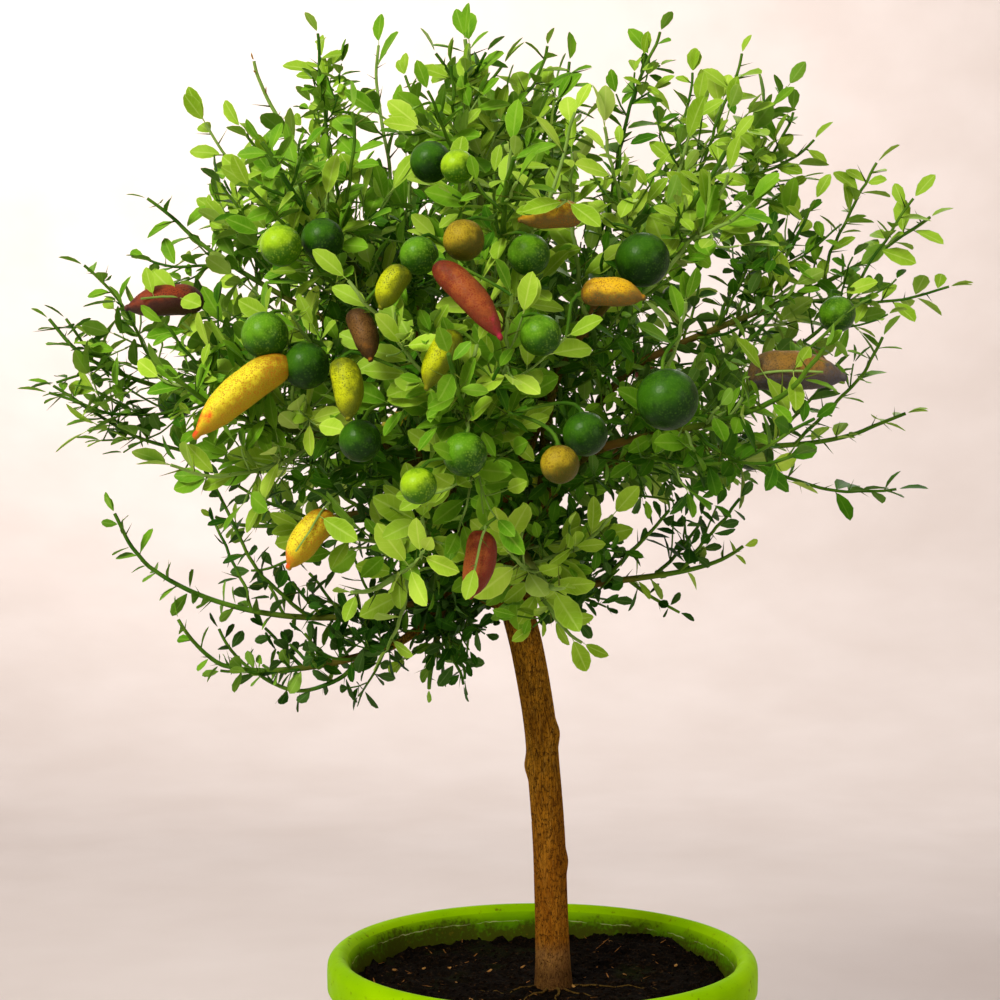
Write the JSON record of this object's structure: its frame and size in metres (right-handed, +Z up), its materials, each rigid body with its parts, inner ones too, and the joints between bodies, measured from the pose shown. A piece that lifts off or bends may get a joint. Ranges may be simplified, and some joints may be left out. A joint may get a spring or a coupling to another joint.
{
  "type": "potted finger lime tree",
  "caption": "Small standard finger lime tree with a bare trunk, a round leafy crown and hanging fruit, rooted in a filled round pot with a turned-down lip.",
  "frame": {"origin": "middle of the pot's flat underside", "axes": "+Z straight up the pot's axis; -Y is the side the tree is seen from; +X is the viewer's right"},
  "size_m": [0.6833, 0.5791, 0.8979],
  "materials": {
    "pot_plastic": "satin",
    "soil": "matte",
    "bark": "matte",
    "foliage": "satin",
    "fruit": "satin"
  },
  "bodies": {
    "root": {"pot": "pot_plastic", "soil": "soil", "trunk": "bark", "bough_back": "bark", "bough_back_high": "bark", "bough_back_left": "bark", "bough_back_left_high": "bark", "bough_back_right": "bark", "bough_back_right_high": "bark", "bough_front": "bark", "bough_front_high": "bark", "bough_front_left": "bark", "bough_front_left_high": "bark", "bough_front_right": "bark", "bough_front_right_high": "bark", "bough_left": "bark", "bough_left_high": "bark", "bough_low_back": "bark", "bough_low_back_left": "bark", "bough_low_front": "bark", "bough_low_front_left": "bark", "bough_low_left": "bark", "bough_low_left_arch": "bark", "bough_low_left_spur": "bark", "bough_low_right": "bark", "bough_right_high": "bark", "bough_right_low": "bark", "bough_top_back": "bark", "bough_top_front": "bark", "bough_top_left": "bark", "bough_top_right": "bark", "spray_back": "foliage", "spray_back_high": "foliage", "spray_back_left": "foliage", "spray_back_left_high": "foliage", "spray_back_right": "foliage", "spray_back_right_high": "foliage", "spray_front": "foliage", "spray_front_high": "foliage", "spray_front_left": "foliage", "spray_front_left_high": "foliage", "spray_front_right": "foliage", "spray_front_right_high": "foliage", "spray_left": "foliage", "spray_left_high": "foliage", "spray_low_back": "foliage", "spray_low_back_left": "foliage", "spray_low_front": "foliage", "spray_low_front_left": "foliage", "spray_low_left": "foliage", "spray_low_left_arch": "foliage", "spray_low_left_spur": "foliage", "spray_low_right": "foliage", "spray_right_high": "foliage", "spray_right_low": "foliage", "spray_top_back": "foliage", "spray_top_front": "foliage", "spray_top_left": "foliage", "spray_top_right": "foliage"}
  },
  "joints": []
}
